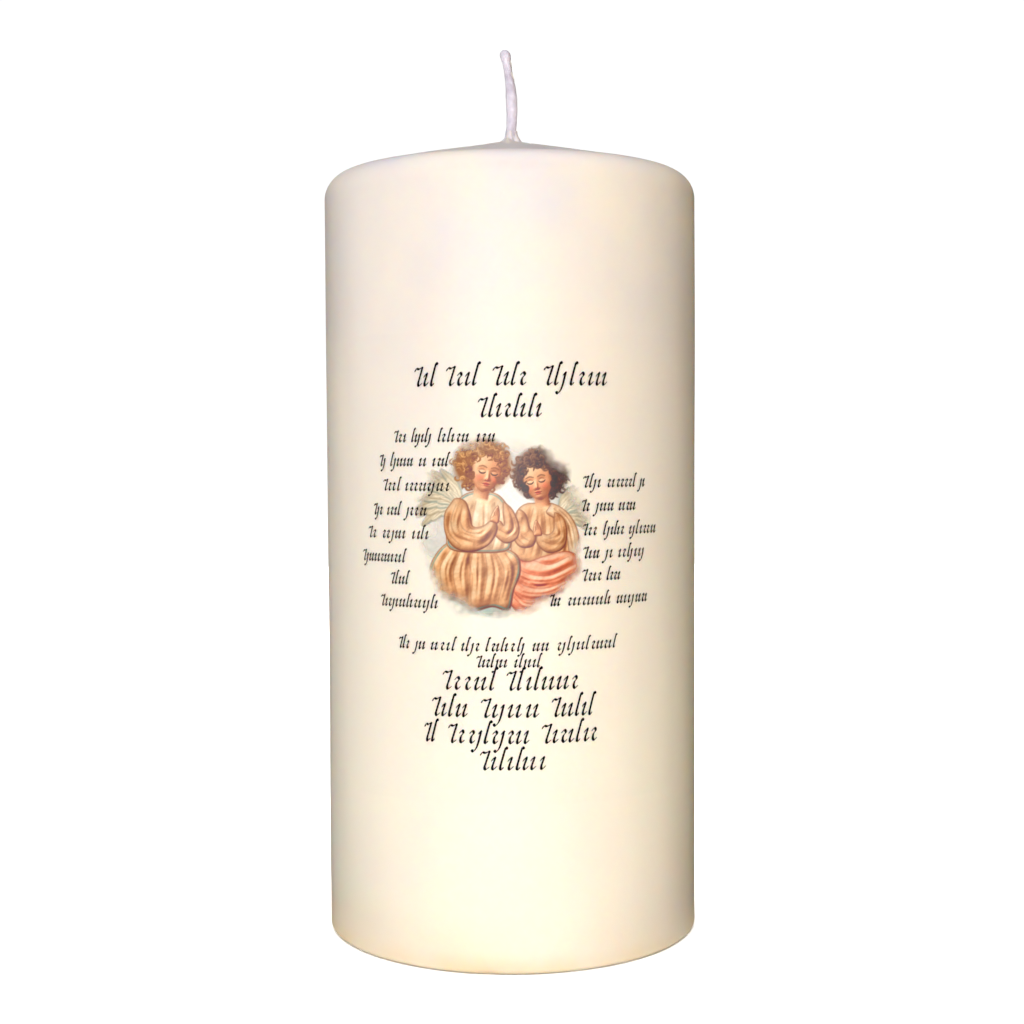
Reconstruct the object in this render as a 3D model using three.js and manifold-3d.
// A three inch by six inch pillar candle with a printed transfer on its front.
// Units are millimetres, +Z is up, the print faces -Y, and the origin is the centre of the base.
// The pieces are the pressed wax core, the hard wax overdip round it, the plaited wick in its priming wax,
// the stamped wick sustainer, the clear transfer film with its printed picture, and the paper base label.
import * as THREE from "three";
import { mergeVertices } from "three/addons/utils/BufferGeometryUtils.js";
import Module from "manifold-3d";

const wasm = await Module();
wasm.setup();

const DEGREE = Math.PI / 180;

// Body: a straight side, a rounded shoulder and a shallow cone that rises to the wick.
const BODY_RADIUS = 38;
const SHOULDER_HEIGHT = 153; // where the side and the cone would meet if the shoulder were sharp
const SHOULDER_RADIUS = 5;
const CONE_ANGLE = 13 * DEGREE;
const BASE_EDGE_RADIUS = 1.0;
const BODY_SEGMENTS = 72;

// Overdip: the hard outer wax, which climbs the wick in a small collar.
const COAT_THICKNESS = 1.5;
const COLLAR_FOOT_RADIUS = 3.6;
const COLLAR_TOP_RADIUS = 1.55;
const COLLAR_RISE = 2.2;
const COLLAR_BORE_RADIUS = 1.3;

// Core: the wick channel, the wider pilot bore for the sustainer's neck, and the hollow in the base.
const CHANNEL_RADIUS = 1.5;
const PILOT_RADIUS = 2.2;
const PILOT_TOP = 8.5;
const RECESS_RADIUS = 24;
const RECESS_DEPTH = 1;
const SEAT_RADIUS = 10.4;

// Wick sustainer: a stamped tinplate disc with a drawn neck, crimped on the wick.
const TINPLATE = 0.3;
const DISC_RADIUS = 10;
const BEAD_RADIUS = 6.6;
const BEAD_WIDTH = 1.6;
const BEAD_RISE = 0.35;
const NECK_RADIUS = 1.45;
const NECK_HEIGHT = 6.2;
const CRIMP_START = 2.6;
const CRIMP_SQUEEZE = 0.83;
const SEAT_DEPTH = RECESS_DEPTH + TINPLATE + BEAD_RISE + 0.1;

// Wick: three cotton bundles in a plait, and the priming wax round them.
const BUNDLE_RADIUS = 0.27;
const PLAIT_HALF_WIDTH = 0.62;
const PLAIT_HALF_DEPTH = 0.46;
const PLAIT_PITCH = 10;
const PLAIT_STEPS_PER_PITCH = 9;
const PRIMING_BORE = 0.95;
const PRIMING_RADIUS = 1.12;
const WICK_BOTTOM = RECESS_DEPTH + 0.5;
const WICK_TOP = 180.2;
const BUNDLE_TOP = 178.6;
const LEAN_START = 161.8;

// Printed transfer: a thin clear film on the front of the body, and the picture printed on it.
const FILM_THICKNESS = 0.1;
const FILM_HALF_ANGLE = 57 * DEGREE;
const FILM_BOTTOM = 32;
const FILM_TOP = 120;
const FILM_CORNER_RADIUS = 4;
const PRINT_THICKNESS = 0.05;
const LAYER_GAP = 0.02;
const PICTURE_CENTRE_X = -1.9;
const PICTURE_CENTRE_Z = 83.8;
const PICTURE_HALF_WIDTH = 17.2;
const PICTURE_HALF_HEIGHT = 18;

// Base label: a round of paper stuck up inside the hollow of the base.
const LABEL_RADIUS = 20;
const LABEL_THICKNESS = 0.15;

const SHOULDER_CENTRE_Z =
  SHOULDER_HEIGHT + SHOULDER_RADIUS * (Math.tan(CONE_ANGLE) - 1 / Math.cos(CONE_ANGLE));

const point = (r, z) => new THREE.Vector2(r, z);

// Points of an arc about (r, z), from one angle to another, both measured from the +r direction.
function arc(r, z, radius, from, to, steps) {
  return Array.from({ length: steps + 1 }, (_, i) => {
    const angle = from + ((to - from) * i) / steps;
    return point(r + radius * Math.cos(angle), z + radius * Math.sin(angle));
  });
}

// A solid of revolution about Z, from a profile of (radius, height) points.
function turned(profile, segments = BODY_SEGMENTS) {
  return new THREE.LatheGeometry(profile, segments).rotateX(Math.PI / 2);
}

// A turned ring, whose profile closes on itself.
function turnedRing(profile, segments) {
  return turned([...profile, profile[0].clone()], segments);
}

// The shoulder of the body at some depth under its surface, from the side up to the cone.
function shoulder(depth) {
  const centre = BODY_RADIUS - SHOULDER_RADIUS;
  return arc(centre, SHOULDER_CENTRE_Z, SHOULDER_RADIUS - depth, 0, Math.PI / 2 - CONE_ANGLE, 7);
}

// The cone of the top, at a radius and at some depth under its surface.
function coneHeight(radius, depth) {
  const rise = (BODY_RADIUS - radius) * Math.tan(CONE_ANGLE);
  return SHOULDER_HEIGHT + rise - depth / Math.cos(CONE_ANGLE);
}

function coreGeometry() {
  return turnedRing([
    point(CHANNEL_RADIUS, PILOT_TOP),
    point(PILOT_RADIUS, PILOT_TOP),
    point(PILOT_RADIUS, SEAT_DEPTH),
    point(SEAT_RADIUS, SEAT_DEPTH),
    point(SEAT_RADIUS, RECESS_DEPTH),
    point(RECESS_RADIUS - RECESS_DEPTH, RECESS_DEPTH),
    point(RECESS_RADIUS, 0),
    point(BODY_RADIUS - COAT_THICKNESS, 0),
    ...shoulder(COAT_THICKNESS),
    point(CHANNEL_RADIUS, coneHeight(CHANNEL_RADIUS, COAT_THICKNESS)),
  ]);
}

// The collar is a concave quarter ellipse from the cone up to the wick.
function collarProfile() {
  const foot = coneHeight(COLLAR_FOOT_RADIUS, 0);
  const width = COLLAR_FOOT_RADIUS - COLLAR_TOP_RADIUS;
  return [0, 30, 60, 90].map((degrees) => {
    const angle = degrees * DEGREE;
    return point(
      COLLAR_FOOT_RADIUS - width * Math.sin(angle),
      foot + COLLAR_RISE * (1 - Math.cos(angle)),
    );
  });
}

function overdipGeometry() {
  const top = coneHeight(COLLAR_FOOT_RADIUS, 0) + COLLAR_RISE;
  return turnedRing([
    point(BODY_RADIUS - COAT_THICKNESS, 0),
    ...arc(BODY_RADIUS - BASE_EDGE_RADIUS, BASE_EDGE_RADIUS, BASE_EDGE_RADIUS, -Math.PI / 2, 0, 4),
    ...shoulder(0),
    ...collarProfile(),
    point(COLLAR_BORE_RADIUS, top),
    point(COLLAR_BORE_RADIUS, coneHeight(COLLAR_BORE_RADIUS, COAT_THICKNESS)),
    point(CHANNEL_RADIUS, coneHeight(CHANNEL_RADIUS, COAT_THICKNESS)),
    ...shoulder(COAT_THICKNESS).reverse(),
  ]);
}

// How far the wick's centre stands off the axis at a height: a gentle S above the collar.
const leanPath = new THREE.CatmullRomCurve3([
  new THREE.Vector3(0, 0, LEAN_START),
  new THREE.Vector3(0.3, 0.05, LEAN_START + 3),
  new THREE.Vector3(0.52, 0.12, LEAN_START + 6.5),
  new THREE.Vector3(0.4, 0.2, LEAN_START + 10),
  new THREE.Vector3(-0.15, 0.25, LEAN_START + 14),
  new THREE.Vector3(-0.95, 0.3, WICK_TOP),
]);

function lean(z) {
  if (z <= LEAN_START) return { x: 0, y: 0 };
  return leanPath.getPoint(Math.min(1, (z - LEAN_START) / (WICK_TOP - LEAN_START)));
}

// The path of one bundle: it weaves from side to side once a pitch, and over and under twice.
class PlaitPath extends THREE.Curve {
  constructor(phase) {
    super();
    this.phase = phase;
  }
  getPoint(t, target = new THREE.Vector3()) {
    const z = WICK_BOTTOM + (BUNDLE_TOP - WICK_BOTTOM) * t;
    const turn = (2 * Math.PI * (z - WICK_BOTTOM)) / PLAIT_PITCH + this.phase;
    const at = lean(z);
    return target.set(
      at.x + PLAIT_HALF_WIDTH * Math.sin(turn),
      at.y + PLAIT_HALF_DEPTH * Math.sin(2 * turn),
      z,
    );
  }
}

function bundleGeometry(phase) {
  const section = new THREE.Shape(
    arc(0, 0, BUNDLE_RADIUS, 0, 2 * Math.PI, 6).slice(0, -1),
  );
  const steps = Math.round(((BUNDLE_TOP - WICK_BOTTOM) / PLAIT_PITCH) * PLAIT_STEPS_PER_PITCH);
  return new THREE.ExtrudeGeometry(section, { steps, extrudePath: new PlaitPath(phase) });
}

// The priming wax is a sleeve that is open at the bottom and ends in a rounded drop at the tip.
function primingGeometry() {
  const drop = 1.05;
  const heights = [WICK_BOTTOM, LEAN_START];
  for (let z = LEAN_START + 1.5; z < BUNDLE_TOP; z += 1.5) heights.push(z);
  const outside = heights.map((z) => point(PRIMING_RADIUS, z));
  const inside = heights.map((z) => point(PRIMING_BORE, z)).reverse();
  const sleeve = turned(
    [
      point(0, WICK_TOP - 0.5),
      point(PRIMING_BORE * 0.7, WICK_TOP - 0.7),
      point(PRIMING_BORE, BUNDLE_TOP + 0.1),
      ...inside,
      ...outside,
      ...arc(0, WICK_TOP - drop, PRIMING_RADIUS, 0, Math.PI / 2, 4).map((p, i, all) =>
        i === all.length - 1 ? point(0, p.y) : p,
      ),
    ],
    14,
  );
  const position = sleeve.getAttribute("position");
  for (let i = 0; i < position.count; i++) {
    const at = lean(position.getZ(i));
    position.setXY(i, position.getX(i) + at.x, position.getY(i) + at.y);
  }
  return sleeve;
}

function sustainerGeometry() {
  const neckOutside = NECK_RADIUS + TINPLATE;
  // The sheet's lower face from the rim to the neck, with its raised bead, as (radius, height).
  const under = [
    [DISC_RADIUS, 0],
    [BEAD_RADIUS + BEAD_WIDTH / 2, 0],
    [BEAD_RADIUS + BEAD_WIDTH / 4, BEAD_RISE],
    [BEAD_RADIUS - BEAD_WIDTH / 4, BEAD_RISE],
    [BEAD_RADIUS - BEAD_WIDTH / 2, 0],
  ];
  const lower = under.map(([r, z]) => point(r, RECESS_DEPTH + z));
  const upper = under.map(([r, z]) => point(r, RECESS_DEPTH + TINPLATE + z));
  const neckHeights = [CRIMP_START, CRIMP_START + 0.8, NECK_HEIGHT - 0.8, NECK_HEIGHT];
  const ring = turnedRing(
    [
      ...lower.reverse(),
      ...upper,
      point(neckOutside + 0.5, RECESS_DEPTH + TINPLATE),
      point(neckOutside, RECESS_DEPTH + TINPLATE + 0.5),
      ...neckHeights.map((z) => point(neckOutside, RECESS_DEPTH + z)),
      ...neckHeights.map((z) => point(NECK_RADIUS, RECESS_DEPTH + z)).reverse(),
      point(NECK_RADIUS, RECESS_DEPTH + TINPLATE + 0.4),
      point(NECK_RADIUS + 0.6, RECESS_DEPTH),
    ],
    36,
  );
  // The crimping tool squeezes the neck in Y and lets it spread in X.
  const position = ring.getAttribute("position");
  for (let i = 0; i < position.count; i++) {
    const share = THREE.MathUtils.smoothstep(
      position.getZ(i),
      RECESS_DEPTH + CRIMP_START,
      RECESS_DEPTH + CRIMP_START + 0.8,
    );
    const squeeze = 1 - share * (1 - CRIMP_SQUEEZE);
    position.setXY(
      i,
      position.getX(i) * (1 + (1 - squeeze) * 0.6),
      position.getY(i) * squeeze,
    );
  }
  return ring;
}

function toSolid(geometry) {
  const bare = geometry.clone().deleteAttribute("normal").deleteAttribute("uv");
  const merged = mergeVertices(bare, 1e-4);
  return new wasm.Manifold(
    new wasm.Mesh({
      numProp: 3,
      vertProperties: merged.getAttribute("position").array,
      triVerts: new Uint32Array(merged.index.array),
    }),
  );
}

function toGeometry(solid) {
  const mesh = solid.getMesh();
  const geometry = new THREE.BufferGeometry();
  geometry.setAttribute("position", new THREE.BufferAttribute(mesh.vertProperties, 3));
  geometry.setIndex(new THREE.BufferAttribute(mesh.triVerts, 1));
  geometry.computeVertexNormals();
  return geometry;
}

// A thin curved sheet on the front of the body, with the outline of a shape drawn in X and Z.
function frontSheet(outline, radius, thickness) {
  const shell = turnedRing([
    point(radius, FILM_BOTTOM),
    point(radius + thickness, FILM_BOTTOM),
    point(radius + thickness, FILM_TOP),
    point(radius, FILM_TOP),
  ]);
  const cutter = new THREE.ExtrudeGeometry(outline, {
    depth: 2 * BODY_RADIUS,
    bevelEnabled: false,
    curveSegments: 20,
  }).rotateX(Math.PI / 2);
  return toGeometry(toSolid(shell).intersect(toSolid(cutter)));
}

function filmOutline() {
  const side = BODY_RADIUS * Math.sin(FILM_HALF_ANGLE);
  const inner = side - FILM_CORNER_RADIUS;
  const low = FILM_BOTTOM + FILM_CORNER_RADIUS;
  const high = FILM_TOP - FILM_CORNER_RADIUS;
  return new THREE.Shape()
    .absarc(inner, low, FILM_CORNER_RADIUS, -Math.PI / 2, 0)
    .absarc(inner, high, FILM_CORNER_RADIUS, 0, Math.PI / 2)
    .absarc(-inner, high, FILM_CORNER_RADIUS, Math.PI / 2, Math.PI)
    .absarc(-inner, low, FILM_CORNER_RADIUS, Math.PI, 1.5 * Math.PI)
    .closePath();
}

function pictureOutline() {
  return new THREE.Shape().absellipse(
    PICTURE_CENTRE_X,
    PICTURE_CENTRE_Z,
    PICTURE_HALF_WIDTH,
    PICTURE_HALF_HEIGHT,
    0,
    2 * Math.PI,
  );
}

function labelGeometry() {
  return turned(
    [
      point(0, RECESS_DEPTH - LABEL_THICKNESS),
      point(LABEL_RADIUS, RECESS_DEPTH - LABEL_THICKNESS),
      point(LABEL_RADIUS, RECESS_DEPTH),
      point(0, RECESS_DEPTH),
    ],
    48,
  );
}

const ivoryWax = new THREE.MeshStandardMaterial({ color: 0xfbf3e4, roughness: 0.38 });
const pressedWax = new THREE.MeshStandardMaterial({ color: 0xf6efe2, roughness: 0.8 });
const cotton = new THREE.MeshStandardMaterial({ color: 0xf3ece4, roughness: 0.9 });
const primingWax = new THREE.MeshStandardMaterial({ color: 0xf4eef0, roughness: 0.45 });
const tinplate = new THREE.MeshStandardMaterial({ color: 0xb9bbbe, roughness: 0.35, metalness: 1 });
const clearFilm = new THREE.MeshStandardMaterial({ color: 0xfdf7ea, roughness: 0.3 });
const pictureInk = new THREE.MeshStandardMaterial({ color: 0xd9a98a, roughness: 0.4 });
const labelPaper = new THREE.MeshStandardMaterial({ color: 0xfafafa, roughness: 0.7 });

const candle = new THREE.Group();

function addPiece(name, geometry, material) {
  const piece = new THREE.Mesh(geometry, material);
  piece.name = name;
  candle.add(piece);
}

addPiece("wax_core", coreGeometry(), pressedWax);
addPiece("overdip_coat", overdipGeometry(), ivoryWax);
["wick_bundle_a", "wick_bundle_b", "wick_bundle_c"].forEach((name, i) =>
  addPiece(name, bundleGeometry((i * 2 * Math.PI) / 3), cotton),
);
addPiece("wick_priming_wax", primingGeometry(), primingWax);
addPiece("wick_sustainer", sustainerGeometry(), tinplate);
addPiece(
  "transfer_film",
  frontSheet(filmOutline(), BODY_RADIUS + LAYER_GAP, FILM_THICKNESS),
  clearFilm,
);
addPiece(
  "picture_print",
  frontSheet(pictureOutline(), BODY_RADIUS + FILM_THICKNESS + 2 * LAYER_GAP, PRINT_THICKNESS),
  pictureInk,
);
addPiece("base_label", labelGeometry(), labelPaper);

export default candle;
